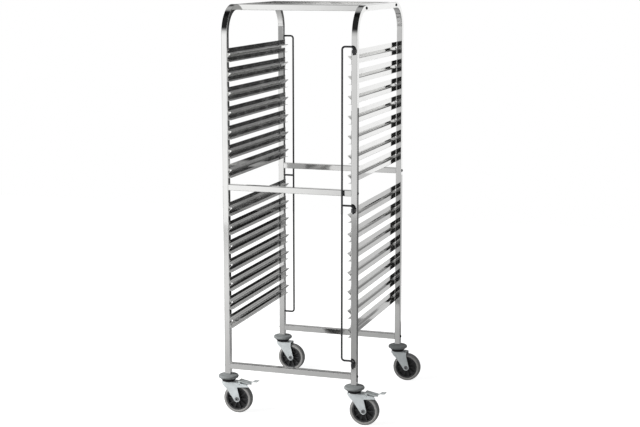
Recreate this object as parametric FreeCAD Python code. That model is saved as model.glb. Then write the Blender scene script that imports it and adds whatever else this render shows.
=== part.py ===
import FreeCAD, Part
import math
import os

# Gastronorm tray trolley in millimetres.
# X runs across the width, Y from the front to the rear, Z up.
# The origin is on the floor under the middle of the frame.

# Frame of square tube
FRAME_WIDTH = 590.0
FRAME_DEPTH = 720.0
FRAME_ABOVE_TOP_LEDGE = 200.0
TUBE = 25.0
TUBE_WALL = 1.5
TUBE_CORNER = 2.0
BORE_CORNER_MIN = 0.5
BEND_RADIUS = 110.0
TOP_BAR_PAST_BEND = 7.5
MIDDLE_BAR_ABOVE_FREE_LEVEL = 5.0
BOTTOM_BAR_ABOVE_POST_END = 37.7

# Bolts that hold the crossbars, and the threaded blocks inside the bar ends
BOLT_RADIUS = 4.0
BOLT_REACH = 16.0
BOLT_HOLE_CLEARANCE = 0.3
BOLT_HEAD_RADIUS = 7.0
BOLT_HEAD_HEIGHT = 4.5
BOLT_SOCKET_RADIUS = 2.9
BOLT_SOCKET_DEPTH = 2.6
BLOCK_LENGTH = 20.0
BLOCK_CLEARANCE = 0.1
THREAD_CLEARANCE = 0.05

# Tray rails, pressed from sheet
LEVELS_PER_BANK = 7
RAIL_PITCH = 81.0
LOWEST_LEDGE_ABOVE_BAR = 203.0
RAIL_SHEET = 1.2
RAIL_FOLD_RADIUS = 1.0
RAIL_UPSTAND = 21.0
LEDGE_DEPTH = 16.0
LEDGE_RETURN = 16.0
RAIL_DROP = 36.0
LIP_DEPTH = 12.5
RAIL_END_GAP = 1.0

# Swinging bars that keep the trays in, and the eyes that carry them
WIRE_RADIUS = 4.0
WIRE_BEND_RADIUS = 12.0
RETAINER_REACH = 48.0
RETAINER_ABOVE_TOP_LEDGE = 37.5
RETAINER_BELOW_MIDDLE_BAR = 49.0
RETAINER_ABOVE_BOTTOM_BAR = 72.0
RETAINER_PIN_DROP = 34.0
RETAINER_STANDOFF = 12.0
EYE_WALL = 3.5
EYE_HEIGHT = 14.0
EYE_CLEARANCE = 0.1
EYE_SEAT_GAP = 0.3

# Wheels and axles
WHEEL_RADIUS = 62.5
TYRE_WIDTH = 32.0
TYRE_THICKNESS = 12.4
TREAD_ROUND = 5.0
TYRE_FIT = 0.1
RIM_THICKNESS = 6.0
RIM_INSET = 1.5
WEB_THICKNESS = 6.0
BOSS_RADIUS = 13.0
BOSS_SIDE_GAP = 1.0
HUB_RIBS = 10
HUB_RIB_THICKNESS = 3.0
HUB_RIB_INSET = 3.0
AXLE_RADIUS = 5.0
AXLE_RUNNING_FIT = 0.05
AXLE_HEAD_RADIUS = 8.5
AXLE_HEAD_HEIGHT = 3.0
AXLE_END_BORE = 3.4
AXLE_END_BORE_DEPTH = 6.0
RIVET_FIT = 0.05

# Forks, with sizes along X counted from the swivel axis
CASTER_TRAIL = 45.0
FORK_ABOVE_WHEEL = 11.0
FORK_BESIDE_TYRE = 4.0
FORK_SHEET = 2.5
FORK_FOLD_RADIUS = 1.5
FORK_NOSE = 30.0
FORK_NOSE_FLAT = 4.0
FORK_NOSE_LIP = 6.0
FORK_THROAT_DROP = 33.0
FORK_TAIL_PAST_AXLE = 1.0
FORK_CROTCH_DROP = 22.0
FORK_FOOT_RADIUS = 13.5

# Swivels and bumpers
RACE_HEIGHT = 10.0
RACE_RADIUS = 27.0
RACE_FLANGE_REACH = 5.0
RACE_FLANGE = 3.0
SWIVEL_GAP = 0.3
KINGPIN_RADIUS = 6.0
KINGPIN_RUNNING_FIT = 0.05
KINGPIN_FLANGE_REACH = 5.0
KINGPIN_FLANGE = 4.0
STEM_PLUG_LENGTH = 30.0
STEM_PLUG_CLEARANCE = 0.15
STEM_FIT = 0.1
BUMPER_RADIUS = 43.5
BUMPER_THICKNESS = 20.0
BUMPER_SEAT_RADIUS = 21.0
BUMPER_ROUND = 7.0
BUMPER_SHOULDER_DROP = 3.0

# Wheel brakes of the two front casters, placed from the axle along X and from the fork top along Z
BRAKE_TRAVEL = 12.0
BRAKE_PIVOT_PAST_AXLE = 9.0
BRAKE_PIVOT_DROP = 6.0
BRAKE_PIN_RADIUS = 3.0
BRAKE_PIN_HEAD_RADIUS = 4.2
BRAKE_PIN_HEAD = 1.5
BRAKE_PIN_FIT = 0.05
CHEEK_END_PAST_AXLE = 52.0
CHEEK_END_TOP_DROP = 10.0
CHEEK_END_BOTTOM_DROP = 17.0
PEDAL_SHEET = 2.5
PEDAL_FOLD_RADIUS = 1.5
PEDAL_SIDE_GAP = 0.6
PEDAL_START_PAST_AXLE = 5.0
PEDAL_START_RISE = 5.0
PEDAL_LENGTH = 53.0
PEDAL_FALL = 10.5
PEDAL_NECK_LENGTH = 13.0
PEDAL_NECK_RISE = 10.5
PEDAL_NECK_WIDTH = 14.0
PEDAL_TIP_LENGTH = 20.0
PEDAL_TIP_WIDTH = 30.0
PEDAL_TIP_RISE = 1.0
PEDAL_SLOT_LENGTH = 24.0
PEDAL_SLOT_WIDTH = 11.0
PEDAL_SLOT_END_GAP = 7.0
PEDAL_EAR_RADIUS = 6.0
SHOE_START_PAST_AXLE = 22.0
SHOE_LENGTH = 18.0
SHOE_WIDTH = 24.0
SHOE_DEPTH = 20.0
SHOE_GAP = 1.0

# Heights that follow, from the floor up
AXLE_Z = WHEEL_RADIUS
FORK_TOP_Z = 2 * WHEEL_RADIUS + FORK_ABOVE_WHEEL
CROWN_UNDERSIDE_Z = FORK_TOP_Z - FORK_SHEET
RACE_BOTTOM_Z = FORK_TOP_Z + SWIVEL_GAP
BUMPER_BOTTOM_Z = RACE_BOTTOM_Z + RACE_HEIGHT
POST_BOTTOM_Z = BUMPER_BOTTOM_Z + BUMPER_THICKNESS
BOTTOM_BAR_Z = POST_BOTTOM_Z + BOTTOM_BAR_ABOVE_POST_END
LOWEST_LEDGE_Z = BOTTOM_BAR_Z + LOWEST_LEDGE_ABOVE_BAR
FREE_LEVEL_Z = LOWEST_LEDGE_Z + LEVELS_PER_BANK * RAIL_PITCH
MIDDLE_BAR_Z = FREE_LEVEL_Z + MIDDLE_BAR_ABOVE_FREE_LEVEL
TOP_LEDGE_Z = FREE_LEVEL_Z + LEVELS_PER_BANK * RAIL_PITCH
FRAME_TOP = TOP_LEDGE_Z + FRAME_ABOVE_TOP_LEDGE
TOP_BAR_Z = FRAME_TOP - TUBE / 2
RETAINER_TOP_Z = TOP_LEDGE_Z + RETAINER_ABOVE_TOP_LEDGE
RETAINER_MIDDLE_Z = MIDDLE_BAR_Z - RETAINER_BELOW_MIDDLE_BAR
RETAINER_BOTTOM_Z = BOTTOM_BAR_Z + RETAINER_ABOVE_BOTTOM_BAR

# Widths and depths that follow
SIDE_X = (FRAME_WIDTH - TUBE) / 2
INNER_X = FRAME_WIDTH / 2 - TUBE
POST_Y = (FRAME_DEPTH - TUBE) / 2
TOP_BAR_Y = POST_Y - BEND_RADIUS - TOP_BAR_PAST_BEND
TUBE_BORE = TUBE - 2 * TUBE_WALL
BORE_CORNER = max(TUBE_CORNER - TUBE_WALL, BORE_CORNER_MIN)
RIM_RADIUS = WHEEL_RADIUS - TYRE_THICKNESS - TYRE_FIT
RIM_HALF_WIDTH = TYRE_WIDTH / 2 - RIM_INSET
FORK_HALF_GAP = TYRE_WIDTH / 2 + FORK_BESIDE_TYRE
FORK_HALF_WIDTH = FORK_HALF_GAP + FORK_SHEET
FORK_NOSE_RADIUS = FORK_HALF_GAP - FORK_NOSE_FLAT / 2
FORK_TAIL_X = CASTER_TRAIL + FORK_TAIL_PAST_AXLE
CHEEK_END_X = CASTER_TRAIL + CHEEK_END_PAST_AXLE
BRAKE_PIVOT_X = CASTER_TRAIL + BRAKE_PIVOT_PAST_AXLE
BRAKE_PIVOT_Z = FORK_TOP_Z - BRAKE_PIVOT_DROP
PEDAL_START = (CASTER_TRAIL + PEDAL_START_PAST_AXLE, FORK_TOP_Z + PEDAL_START_RISE)
PEDAL_BEND = (PEDAL_START[0] + PEDAL_LENGTH, PEDAL_START[1] - PEDAL_FALL)
PEDAL_NECK = (PEDAL_BEND[0] + PEDAL_NECK_LENGTH, PEDAL_BEND[1] + PEDAL_NECK_RISE)
PEDAL_TIP = (PEDAL_NECK[0] + PEDAL_TIP_LENGTH, PEDAL_NECK[1] + PEDAL_TIP_RISE)
SHOE_START_X = CASTER_TRAIL + SHOE_START_PAST_AXLE

CROSSBARS = {
    "crossbar_front_top": (-TOP_BAR_Y, TOP_BAR_Z),
    "crossbar_front_middle": (-POST_Y, MIDDLE_BAR_Z),
    "crossbar_front_bottom": (-POST_Y, BOTTOM_BAR_Z),
    "crossbar_rear_top": (TOP_BAR_Y, TOP_BAR_Z),
    "crossbar_rear_middle": (POST_Y, MIDDLE_BAR_Z),
    "crossbar_rear_bottom": (POST_Y, BOTTOM_BAR_Z),
}
CASTERS = {
    "front_left": (-SIDE_X, -POST_Y),
    "front_right": (SIDE_X, -POST_Y),
    "rear_left": (-SIDE_X, POST_Y),
    "rear_right": (SIDE_X, POST_Y),
}
BRAKED_CASTERS = ("front_left", "front_right")

V = FreeCAD.Vector
ORIGIN = V(0, 0, 0)
X_AXIS = V(1, 0, 0)
Y_AXIS = V(0, 1, 0)
Z_AXIS = V(0, 0, 1)


def moved(shape, x, y, z):
    """Copy of the shape, shifted."""
    copy = shape.copy()
    copy.translate(V(x, y, z))
    return copy


def turned(shape, axis, degrees):
    """Copy of the shape, turned about an axis through the origin."""
    copy = shape.copy()
    copy.rotate(ORIGIN, axis, degrees)
    return copy


def fused(shapes):
    """One clean solid from touching or overlapping pieces."""
    return shapes[0].fuse(shapes[1:]).removeSplitter()


def cylinder(radius, start, end):
    """Round bar from one point to another."""
    direction = end - start
    return Part.makeCylinder(radius, direction.Length, start, direction)


def line(start, end):
    """Straight edge."""
    return Part.LineSegment(start, end).toShape()


def closed_wire(points):
    """Wire of straight edges through the points and back to the first."""
    return Part.makePolygon(points + points[:1])


def rounded_path(start, bends, end):
    """Edges from start to end through arcs, each given by its three points."""
    edges = []
    place = start
    for bend_start, bend_middle, bend_end in bends:
        edges.append(line(place, bend_start))
        edges.append(Part.Arc(bend_start, bend_middle, bend_end).toShape())
        place = bend_end
    return edges + [line(place, end)]


def rounded_rectangle(width, depth, radius):
    """Closed wire in the XY plane, centred on the origin."""
    corners = []
    for sign_x, sign_y, start_angle in ((1, 1, 0), (-1, 1, 90), (-1, -1, 180), (1, -1, 270)):
        centre = V(sign_x * (width / 2 - radius), sign_y * (depth / 2 - radius), 0)
        arc_points = []
        for angle in (start_angle, start_angle + 45, start_angle + 90):
            turn = math.radians(angle)
            arc_points.append(centre + V(radius * math.cos(turn), radius * math.sin(turn), 0))
        corners.append(arc_points)
    edges = []
    for index, arc_points in enumerate(corners):
        following = corners[(index + 1) % len(corners)]
        edges.append(Part.Arc(*arc_points).toShape())
        edges.append(line(arc_points[2], following[0]))
    return Part.Wire(edges)


def tube_section():
    """Face of the square tube in the XY plane."""
    full = Part.Face(rounded_rectangle(TUBE, TUBE, TUBE_CORNER))
    bore = Part.Face(rounded_rectangle(TUBE_BORE, TUBE_BORE, BORE_CORNER))
    return full.cut(bore).Faces[0]


def plug(clearance, length):
    """Bar along Z from the origin that fits in the tube's bore with the clearance all round."""
    side = TUBE_BORE - 2 * clearance
    return Part.Face(rounded_rectangle(side, side, BORE_CORNER)).extrude(V(0, 0, length))


def lathe(edges):
    """Solid of revolution about Z from a closed outline in the XZ plane."""
    return Part.Face(Part.Wire(edges)).revolve(ORIGIN, Z_AXIS, 360)


def straight_edges(points):
    """Edges through (radius, height) points, left open."""
    corners = [V(radius, 0, height) for radius, height in points]
    return [line(start, end) for start, end in zip(corners[:-1], corners[1:])]


def arc_edge(start, middle, end):
    """Arc through three (radius, height) points."""
    return Part.Arc(*[V(radius, 0, height) for radius, height in (start, middle, end)]).toShape()


def dome_edge(radius, height):
    """Arc of a dome from its crown on the axis to its rim at height 0."""
    ball = (radius ** 2 + height ** 2) / (2 * height)
    half_spread = math.asin(radius / ball) / 2
    middle = (ball * math.sin(half_spread), height - ball + ball * math.cos(half_spread))
    return arc_edge((0, height), middle, (radius, 0))


def along_y(shape, x, z):
    """A lathe piece with its axis laid along Y at the given place."""
    return moved(turned(shape, X_AXIS, 90), x, 0, z)


def tangent_point(outside, centre, radius, side):
    """Where a line from a point touches a circle, both in (x, z)."""
    dx = outside[0] - centre[0]
    dz = outside[1] - centre[1]
    spread = math.acos(radius / math.hypot(dx, dz))
    angle = math.atan2(dz, dx) + side * spread
    return (centre[0] + radius * math.cos(angle), centre[1] + radius * math.sin(angle))


def folded_sheet(points, thickness, fold_radius):
    """Face in the XZ plane of a sheet folded along (x, z) points, its thickness on their left."""
    corners = [V(x, 0, z) for x, z in points]
    runs = [(after - before).normalize() for before, after in zip(corners[:-1], corners[1:])]
    lefts = [V(-run.z, 0, run.x) for run in runs]
    skin_bends = []
    back_bends = []
    for index, corner in enumerate(corners[1:-1]):
        run_in, run_out = runs[index:index + 2]
        left_in, left_out = lefts[index:index + 2]
        to_left = run_out.dot(left_in) > 0
        skin_radius = fold_radius + thickness if to_left else fold_radius
        back_radius = fold_radius if to_left else fold_radius + thickness
        trim = skin_radius * math.tan(run_in.getAngle(run_out) / 2)
        bend_start = corner - run_in * trim
        bend_end = corner + run_out * trim
        centre = bend_start + left_in * (skin_radius if to_left else -skin_radius)
        outward = (corner - centre).normalize()
        skin_bends.append((bend_start, centre + outward * skin_radius, bend_end))
        back_start = bend_end + left_out * thickness
        back_end = bend_start + left_in * thickness
        back_bends.insert(0, (back_start, centre + outward * back_radius, back_end))
    first_back = corners[0] + lefts[0] * thickness
    last_back = corners[-1] + lefts[-1] * thickness
    edges = rounded_path(corners[0], skin_bends, corners[-1])
    edges += [line(corners[-1], last_back)]
    edges += rounded_path(last_back, back_bends, first_back)
    edges += [line(first_back, corners[0])]
    return Part.Face(Part.Wire(edges))


def side_frame(side):
    """One tube bent into an inverted U, with the holes for the crossbar bolts."""
    section = tube_section()
    bend_y = -POST_Y + BEND_RADIUS
    bend_z = TOP_BAR_Z - BEND_RADIUS
    post = moved(section, 0, -POST_Y, POST_BOTTOM_Z).extrude(V(0, 0, bend_z - POST_BOTTOM_Z))
    bend = moved(section, 0, -POST_Y, bend_z).revolve(V(0, bend_y, bend_z), -X_AXIS, 90)
    upright_section = turned(section, X_AXIS, 90)
    half_top = moved(upright_section, 0, bend_y, TOP_BAR_Z).extrude(V(0, -bend_y, 0))
    half = fused([post, bend, half_top])
    whole = fused([half, half.mirror(ORIGIN, Y_AXIS)])
    holes = []
    for y, z in CROSSBARS.values():
        radius = BOLT_RADIUS + BOLT_HOLE_CLEARANCE
        holes.append(cylinder(radius, V(-TUBE, y, z), V(TUBE, y, z)))
    return moved(whole.cut(holes), side * SIDE_X, 0, 0)


def crossbar(y, z):
    """Square tube from one side frame to the other."""
    section = turned(tube_section(), Y_AXIS, 90)
    return moved(section, -INNER_X, y, z).extrude(V(2 * INNER_X, 0, 0))


def crossbar_bolt():
    """Domed bolt along Z with its head on top and the underside of the head at the origin."""
    shank_end = -(TUBE + BOLT_REACH)
    outline = straight_edges([
        (BOLT_HEAD_RADIUS, 0),
        (BOLT_RADIUS, 0),
        (BOLT_RADIUS, shank_end),
        (0, shank_end),
        (0, BOLT_HEAD_HEIGHT),
    ])
    solid = lathe(outline + [dome_edge(BOLT_HEAD_RADIUS, BOLT_HEAD_HEIGHT)])
    corners = []
    for corner in range(6):
        turn = math.radians(60 * corner)
        corners.append(V(BOLT_SOCKET_RADIUS * math.cos(turn), BOLT_SOCKET_RADIUS * math.sin(turn), 0))
    socket = Part.Face(closed_wire(corners)).extrude(V(0, 0, BOLT_HEAD_HEIGHT))
    return solid.cut(moved(socket, 0, 0, BOLT_HEAD_HEIGHT - BOLT_SOCKET_DEPTH))


def bar_end_block():
    """Threaded block that sits inside a bar end, along X from the origin."""
    block = turned(plug(BLOCK_CLEARANCE, BLOCK_LENGTH), Y_AXIS, 90)
    return block.cut(cylinder(BOLT_RADIUS + THREAD_CLEARANCE, ORIGIN, V(BLOCK_LENGTH, 0, 0)))


def at_bar_ends(piece):
    """Copies of a piece that points to +X, one at each end of each crossbar."""
    copies = []
    for y, z in CROSSBARS.values():
        for half_turn in (0, 180):
            copies.append(moved(turned(piece, Z_AXIS, half_turn), 0, y, z))
    return Part.makeCompound(copies)


def left_rail():
    """Pressed rail with its ledge at z = 0 and its web on the inner faces of the left posts."""
    skin = -INNER_X
    end_y = FRAME_DEPTH / 2 - RAIL_END_GAP
    section = folded_sheet([
        (skin, RAIL_UPSTAND),
        (skin, -RAIL_SHEET),
        (skin + LEDGE_DEPTH, -RAIL_SHEET),
        (skin, -LEDGE_RETURN),
        (skin, -RAIL_DROP),
        (skin + LIP_DEPTH, -RAIL_DROP),
    ], RAIL_SHEET, RAIL_FOLD_RADIUS)
    return moved(section, 0, -end_y, 0).extrude(V(0, 2 * end_y, 0))


def ledge_heights():
    """Ledge heights from the top down, with one pitch left free at the middle bars."""
    slots = range(2 * LEVELS_PER_BANK + 1)
    return [TOP_LEDGE_Z - slot * RAIL_PITCH for slot in slots if slot != LEVELS_PER_BANK]


def bent_wire(points):
    """Round wire along straight runs joined by equal square bends."""
    bends = []
    for before, corner, after in zip(points[:-2], points[1:-1], points[2:]):
        toward = (corner - before).normalize()
        away = (after - corner).normalize()
        bend_start = corner - toward * WIRE_BEND_RADIUS
        centre = bend_start + away * WIRE_BEND_RADIUS
        bend_middle = centre + (corner - centre).normalize() * WIRE_BEND_RADIUS
        bends.append((bend_start, bend_middle, corner + away * WIRE_BEND_RADIUS))
    path = Part.Wire(rounded_path(points[0], bends, points[-1]))
    circle = Part.Wire(Part.makeCircle(WIRE_RADIUS, points[0], points[1] - points[0]))
    return path.makePipeShell([circle], True, False)


def front_retainer():
    """Bar that hangs by three turned-down ends in front of the right front post."""
    y = -FRAME_DEPTH / 2 - RETAINER_STANDOFF
    rod_x = SIDE_X - RETAINER_REACH
    bar = bent_wire([
        V(SIDE_X, y, RETAINER_TOP_Z - RETAINER_PIN_DROP),
        V(SIDE_X, y, RETAINER_TOP_Z),
        V(rod_x, y, RETAINER_TOP_Z),
        V(rod_x, y, RETAINER_BOTTOM_Z),
        V(SIDE_X, y, RETAINER_BOTTOM_Z),
        V(SIDE_X, y, RETAINER_BOTTOM_Z - RETAINER_PIN_DROP),
    ])
    stub = bent_wire([
        V(rod_x, y, RETAINER_MIDDLE_Z),
        V(SIDE_X, y, RETAINER_MIDDLE_Z),
        V(SIDE_X, y, RETAINER_MIDDLE_Z - RETAINER_PIN_DROP),
    ])
    return fused([bar, stub])


def retainer_eye():
    """Lug on the face of the right front post, with its top at z = 0."""
    outer_radius = WIRE_RADIUS + EYE_CLEARANCE + EYE_WALL
    face_y = -FRAME_DEPTH / 2
    pin_y = face_y - RETAINER_STANDOFF
    nose = V(SIDE_X, pin_y - outer_radius, -EYE_HEIGHT)
    left_root = V(SIDE_X - outer_radius, face_y, -EYE_HEIGHT)
    right_root = V(SIDE_X + outer_radius, face_y, -EYE_HEIGHT)
    left_shoulder = V(SIDE_X - outer_radius, pin_y, -EYE_HEIGHT)
    right_shoulder = V(SIDE_X + outer_radius, pin_y, -EYE_HEIGHT)
    outline = Part.Wire([
        line(left_root, left_shoulder),
        Part.Arc(left_shoulder, nose, right_shoulder).toShape(),
        line(right_shoulder, right_root),
        line(right_root, left_root),
    ])
    lug = Part.Face(outline).extrude(V(0, 0, EYE_HEIGHT))
    hole = cylinder(WIRE_RADIUS + EYE_CLEARANCE, V(SIDE_X, pin_y, -EYE_HEIGHT), V(SIDE_X, pin_y, 0))
    return lug.cut(hole)


def front_eyes():
    """The three eyes that one retainer bar hangs in."""
    eye = retainer_eye()
    below_arm = WIRE_BEND_RADIUS + EYE_SEAT_GAP
    arms = (RETAINER_TOP_Z, RETAINER_MIDDLE_Z, RETAINER_BOTTOM_Z)
    return Part.makeCompound([moved(eye, 0, 0, arm_z - below_arm) for arm_z in arms])


def bumper():
    """Soft round disc between post and caster."""
    bore = KINGPIN_RADIUS + STEM_FIT
    low = BUMPER_BOTTOM_Z
    high = BUMPER_BOTTOM_Z + BUMPER_THICKNESS
    middle = (low + high) / 2
    shoulder = BUMPER_RADIUS - BUMPER_ROUND
    low_shoulder = (shoulder, low + BUMPER_SHOULDER_DROP)
    high_shoulder = (shoulder, high - BUMPER_SHOULDER_DROP)
    under = straight_edges([(bore, low), (BUMPER_SEAT_RADIUS, low), low_shoulder])
    over = straight_edges([high_shoulder, (BUMPER_SEAT_RADIUS, high), (bore, high), (bore, low)])
    return lathe(under + [arc_edge(low_shoulder, (BUMPER_RADIUS, middle), high_shoulder)] + over)


def stem():
    """Square plug in the post with the kingpin that the fork swivels on."""
    post_plug = moved(plug(STEM_PLUG_CLEARANCE, STEM_PLUG_LENGTH), 0, 0, POST_BOTTOM_Z)
    flange_radius = KINGPIN_RADIUS + KINGPIN_FLANGE_REACH
    flange_top = CROWN_UNDERSIDE_Z - SWIVEL_GAP
    flange_bottom = flange_top - KINGPIN_FLANGE
    kingpin = cylinder(KINGPIN_RADIUS, V(0, 0, flange_bottom), V(0, 0, POST_BOTTOM_Z))
    flange = cylinder(flange_radius, V(0, 0, flange_bottom), V(0, 0, flange_top))
    return fused([post_plug, kingpin, flange])


def swivel_race():
    """Fixed upper bearing cup between bumper and fork."""
    bore = KINGPIN_RADIUS + STEM_FIT
    low = RACE_BOTTOM_Z
    high = RACE_BOTTOM_Z + RACE_HEIGHT
    flange_low = high - RACE_FLANGE
    flange_radius = RACE_RADIUS + RACE_FLANGE_REACH
    return lathe(straight_edges([
        (bore, low),
        (RACE_RADIUS, low),
        (RACE_RADIUS, flange_low),
        (flange_radius, flange_low),
        (flange_radius, high),
        (bore, high),
        (bore, low),
    ]))


def fork_block(sheet, top):
    """Block with a rounded nose at -X and rounded upper edges, as the fork's outside or inside."""
    low = AXLE_Z - 2 * FORK_FOOT_RADIUS
    tail = CHEEK_END_X + FORK_FOOT_RADIUS
    nose = FORK_NOSE - FORK_SHEET + sheet
    half_width = FORK_HALF_GAP + sheet
    fold_radius = FORK_FOLD_RADIUS + sheet
    block = Part.makeBox(nose + tail, 2 * half_width, top - low, V(-nose, -half_width, low))
    upright = [edge for edge in block.Edges if edge.BoundBox.XMax < 0 and edge.BoundBox.ZLength > fold_radius]
    block = block.makeFillet(FORK_NOSE_RADIUS + sheet, upright)
    upper = []
    for edge in block.Edges:
        if edge.BoundBox.ZMin > top - fold_radius and edge.BoundBox.XMin < tail - fold_radius:
            upper.append(edge)
    return block.makeFillet(fold_radius, upper)


def fork_side_outline(braked):
    """Side view of the fork as a closed wire in the XZ plane."""
    axle = (CASTER_TRAIL, AXLE_Z)
    nose_low = (-FORK_NOSE, FORK_TOP_Z - FORK_NOSE_LIP)
    throat = (0, FORK_TOP_Z - FORK_THROAT_DROP)
    tail = (FORK_TAIL_X, FORK_TOP_Z)
    crotch = (FORK_TAIL_X, FORK_TOP_Z - FORK_CROTCH_DROP)
    foot_front = tangent_point(throat, axle, FORK_FOOT_RADIUS, 1)
    foot_rear = tangent_point(crotch, axle, FORK_FOOT_RADIUS, -1)
    foot_bottom = (axle[0], axle[1] - FORK_FOOT_RADIUS)
    cheek = []
    if braked:
        cheek = [
            (CHEEK_END_X, FORK_TOP_Z - CHEEK_END_BOTTOM_DROP),
            (CHEEK_END_X, FORK_TOP_Z - CHEEK_END_TOP_DROP),
        ]
    nose_top = (-FORK_NOSE, FORK_TOP_Z)
    edges = straight_edges([foot_rear, crotch] + cheek + [tail, nose_top, nose_low, throat, foot_front])
    edges.append(arc_edge(foot_front, foot_bottom, foot_rear))
    return Part.Wire(edges)


def fork(braked):
    """Pressed fork that wraps round the wheel's leading side, with brake cheeks where braked."""
    outside = fork_block(FORK_SHEET, FORK_TOP_Z)
    inside = fork_block(0, CROWN_UNDERSIDE_Z)
    open_tail = Part.makeBox(
        CHEEK_END_X, 2 * FORK_HALF_GAP, FORK_TOP_Z, V(FORK_TAIL_X, -FORK_HALF_GAP, 0))
    side_face = moved(Part.Face(fork_side_outline(braked)), 0, -FORK_HALF_WIDTH, 0)
    side_block = side_face.extrude(V(0, 2 * FORK_HALF_WIDTH, 0))
    shell = outside.cut([inside, open_tail]).common(side_block)
    holes = [
        cross_hole(AXLE_RADIUS + RIVET_FIT, CASTER_TRAIL, AXLE_Z),
        cylinder(KINGPIN_RADIUS + KINGPIN_RUNNING_FIT, ORIGIN, V(0, 0, FORK_TOP_Z)),
    ]
    if braked:
        holes.append(cross_hole(BRAKE_PIN_RADIUS + RIVET_FIT, BRAKE_PIVOT_X, BRAKE_PIVOT_Z))
    return shell.cut(holes).removeSplitter()


def cross_hole(radius, x, z):
    """Round bar along Y that reaches past both fork legs."""
    return cylinder(radius, V(x, -2 * FORK_HALF_WIDTH, z), V(x, 2 * FORK_HALF_WIDTH, z))


def axle():
    """Riveted axle with a flat head outside each fork leg and a blind bore in each end."""
    end = FORK_HALF_WIDTH + AXLE_HEAD_HEIGHT
    bore_floor = end - AXLE_END_BORE_DEPTH
    half = [
        (0, bore_floor),
        (AXLE_END_BORE, bore_floor),
        (AXLE_END_BORE, end),
        (AXLE_HEAD_RADIUS, end),
        (AXLE_HEAD_RADIUS, FORK_HALF_WIDTH),
        (AXLE_RADIUS, FORK_HALF_WIDTH),
    ]
    other_half = [(radius, -height) for radius, height in half[::-1]]
    return along_y(lathe(straight_edges(half + other_half + half[:1])), CASTER_TRAIL, AXLE_Z)


def wheel_hub():
    """Moulded wheel centre with a boss, a web, radial ribs and a rim."""
    bore = AXLE_RADIUS + AXLE_RUNNING_FIT
    boss_half = FORK_HALF_GAP - BOSS_SIDE_GAP
    web_half = WEB_THICKNESS / 2
    rim_inner = RIM_RADIUS - RIM_THICKNESS
    half = [
        (bore, boss_half),
        (BOSS_RADIUS, boss_half),
        (BOSS_RADIUS, web_half),
        (rim_inner, web_half),
        (rim_inner, RIM_HALF_WIDTH),
        (RIM_RADIUS, RIM_HALF_WIDTH),
    ]
    other_half = [(radius, -height) for radius, height in half[::-1]]
    core = lathe(straight_edges(half + other_half + half[:1]))
    rib_start = (bore + BOSS_RADIUS) / 2
    rib_length = rim_inner + RIM_THICKNESS / 2 - rib_start
    rib_half = RIM_HALF_WIDTH - HUB_RIB_INSET
    rib_corner = V(rib_start, -HUB_RIB_THICKNESS / 2, -rib_half)
    rib = Part.makeBox(rib_length, HUB_RIB_THICKNESS, 2 * rib_half, rib_corner)
    ribs = [turned(rib, Z_AXIS, 360 * index / HUB_RIBS) for index in range(HUB_RIBS)]
    return along_y(fused([core] + ribs), CASTER_TRAIL, AXLE_Z)


def tyre():
    """Rubber ring with rounded tread edges."""
    inner = RIM_RADIUS + TYRE_FIT
    half = TYRE_WIDTH / 2
    flat_half = half - TREAD_ROUND
    shoulder = WHEEL_RADIUS - TREAD_ROUND
    diagonal = TREAD_ROUND * math.sqrt(0.5)
    upper_round = (shoulder + diagonal, flat_half + diagonal)
    lower_round = (shoulder + diagonal, -flat_half - diagonal)
    edges = straight_edges([(inner, -half), (inner, half), (shoulder, half)])
    edges.append(arc_edge((shoulder, half), upper_round, (WHEEL_RADIUS, flat_half)))
    edges += straight_edges([(WHEEL_RADIUS, flat_half), (WHEEL_RADIUS, -flat_half)])
    edges.append(arc_edge((WHEEL_RADIUS, -flat_half), lower_round, (shoulder, -half)))
    edges += straight_edges([(shoulder, -half), (inner, -half)])
    return along_y(lathe(edges), CASTER_TRAIL, AXLE_Z)


def pedal_plate(points, width):
    """Folded plate along the (x, z) points, centred on Y = 0."""
    section = folded_sheet(points, PEDAL_SHEET, PEDAL_FOLD_RADIUS)
    return moved(section, 0, -width / 2, 0).extrude(V(0, width, 0))


def pedal_height(x):
    """Height of the middle of the sloping plate's thickness."""
    return PEDAL_START[1] - PEDAL_FALL * (x - PEDAL_START[0]) / PEDAL_LENGTH + PEDAL_SHEET / 2


def pedal_wall(start_x, end_x, bottom_z, start_y, thickness):
    """Upright wall from a given height up into the sloping plate."""
    outline = closed_wire([
        V(start_x, start_y, bottom_z),
        V(end_x, start_y, bottom_z),
        V(end_x, start_y, pedal_height(end_x)),
        V(start_x, start_y, pedal_height(start_x)),
    ])
    return Part.Face(outline).extrude(V(0, thickness, 0))


def brake_shoe():
    """Block under the pedal, hollowed to lie along the tread when the pedal is down."""
    end_x = SHOE_START_X + SHOE_LENGTH
    bottom_z = PEDAL_START[1] - SHOE_DEPTH
    block = pedal_wall(SHOE_START_X, end_x, bottom_z, -SHOE_WIDTH / 2, SHOE_WIDTH)
    tread = cross_hole(WHEEL_RADIUS + SHOE_GAP, CASTER_TRAIL, AXLE_Z)
    tread.rotate(V(BRAKE_PIVOT_X, 0, BRAKE_PIVOT_Z), Y_AXIS, -BRAKE_TRAVEL)
    return block.cut(tread)


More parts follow.
